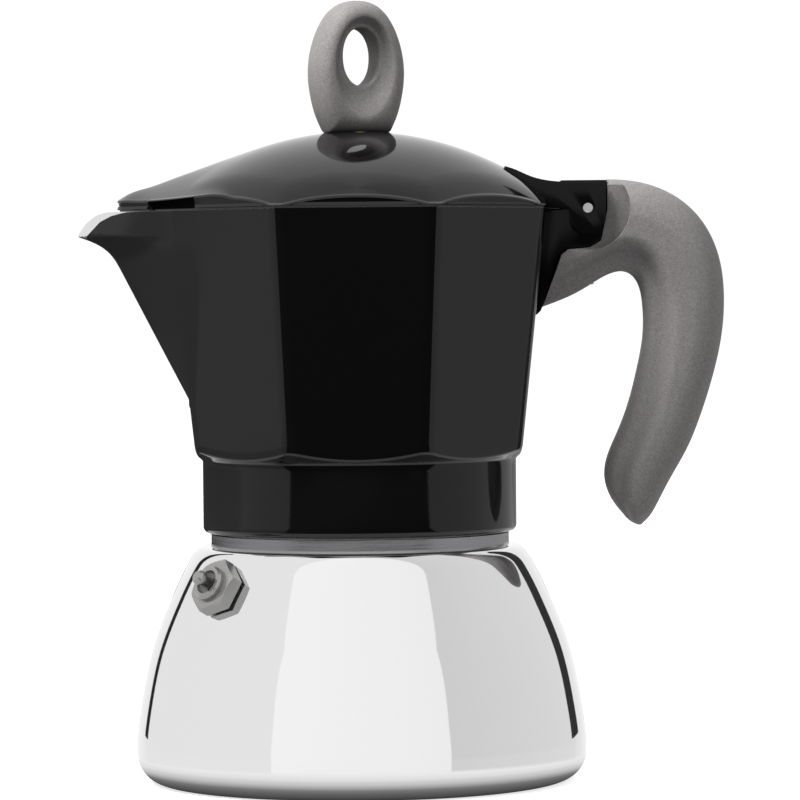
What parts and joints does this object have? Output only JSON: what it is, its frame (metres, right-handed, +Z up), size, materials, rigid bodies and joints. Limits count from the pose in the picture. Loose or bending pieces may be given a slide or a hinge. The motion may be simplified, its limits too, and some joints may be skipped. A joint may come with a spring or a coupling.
{
  "type": "moka pot",
  "caption": "Stovetop moka pot: flared polished steel boiler, black octagonal collector with V spout and hinged domed lid, grey ring knob and curved handle.",
  "frame": {"origin": "centre of the boiler's flat underside, on the axis of the pot", "axes": "+Z up along the pot's axis; -X out of the spout; +X out of the handle; -Y out of the octagon flat that faces the viewer"},
  "size_m": [0.1579, 0.11, 0.1905],
  "materials": {
    "polished_steel": "mirror polished",
    "bare_aluminium": "satin",
    "valve_metal": "machined nickel plate",
    "spring_steel": "bright",
    "black_rubber": "matt",
    "white_rubber": "matt silicone",
    "black_enamel": "high gloss",
    "grey_soft_plastic": "soft touch, fine metallic speckle",
    "brass": "machined"
  },
  "bodies": {
    "boiler": {"boiler_shell": "polished_steel", "boiler_liner": "bare_aluminium", "valve_body": "valve_metal", "valve_washer": "black_rubber", "valve_nut": "valve_metal", "valve_spring": "spring_steel", "valve_retainer": "spring_steel"},
    "valve_stem": {"valve_stem": "valve_metal", "valve_seal": "black_rubber"},
    "funnel": {"funnel": "bare_aluminium", "funnel_screen": "bare_aluminium"},
    "filter_plate": {"filter_plate": "bare_aluminium"},
    "gasket": {"gasket": "white_rubber"},
    "collector": {"collector_body": "black_enamel", "coffee_column": "bare_aluminium", "handle": "grey_soft_plastic", "handle_screw": "spring_steel", "hinge_pin": "spring_steel"},
    "lid": {"lid": "black_enamel", "knob": "grey_soft_plastic", "knob_insert": "brass", "knob_washer": "spring_steel", "knob_screw": "spring_steel"}
  },
  "joints": [
    {"name": "collector_lift", "type": "slide", "parent": "boiler", "child": "filter_plate", "axis": [0, 0, 1], "range_m": [0, 0.22]},
    {"name": "thread_travel", "type": "slide", "parent": "filter_plate", "child": "gasket", "axis": [0, 0, 1], "range_m": [0, 0.00751]},
    {"name": "collector_unscrew", "type": "hinge", "parent": "gasket", "child": "collector", "pos_m": [0, 0, 0.061], "axis": [0, 0, 1], "range_deg": [0, 900]},
    {"name": "funnel_lift", "type": "slide", "parent": "boiler", "child": "funnel", "axis": [0, 0, 1], "range_m": [0, 0.1]},
    {"name": "lid_hinge", "type": "hinge", "parent": "collector", "child": "lid", "pos_m": [0.0561, 0, 0.1394], "axis": [0, 1, 0], "range_deg": [0, 105]},
    {"name": "valve_stem_slide", "type": "slide", "parent": "boiler", "child": "valve_stem", "axis": [-0.6569, -0.602, 0.454], "range_m": [0, 0.0015], "stiffness_N_per_m": 700, "springref_m": -0.003, "deforming": ["valve_spring"]}
  ],
  "couplings": [
    {"joint": "thread_travel", "follows": "collector_unscrew", "m_per_rad": 0.00047746},
    {"joint": "funnel_lift", "follows": "collector_lift", "ratio": 0.45}
  ]
}
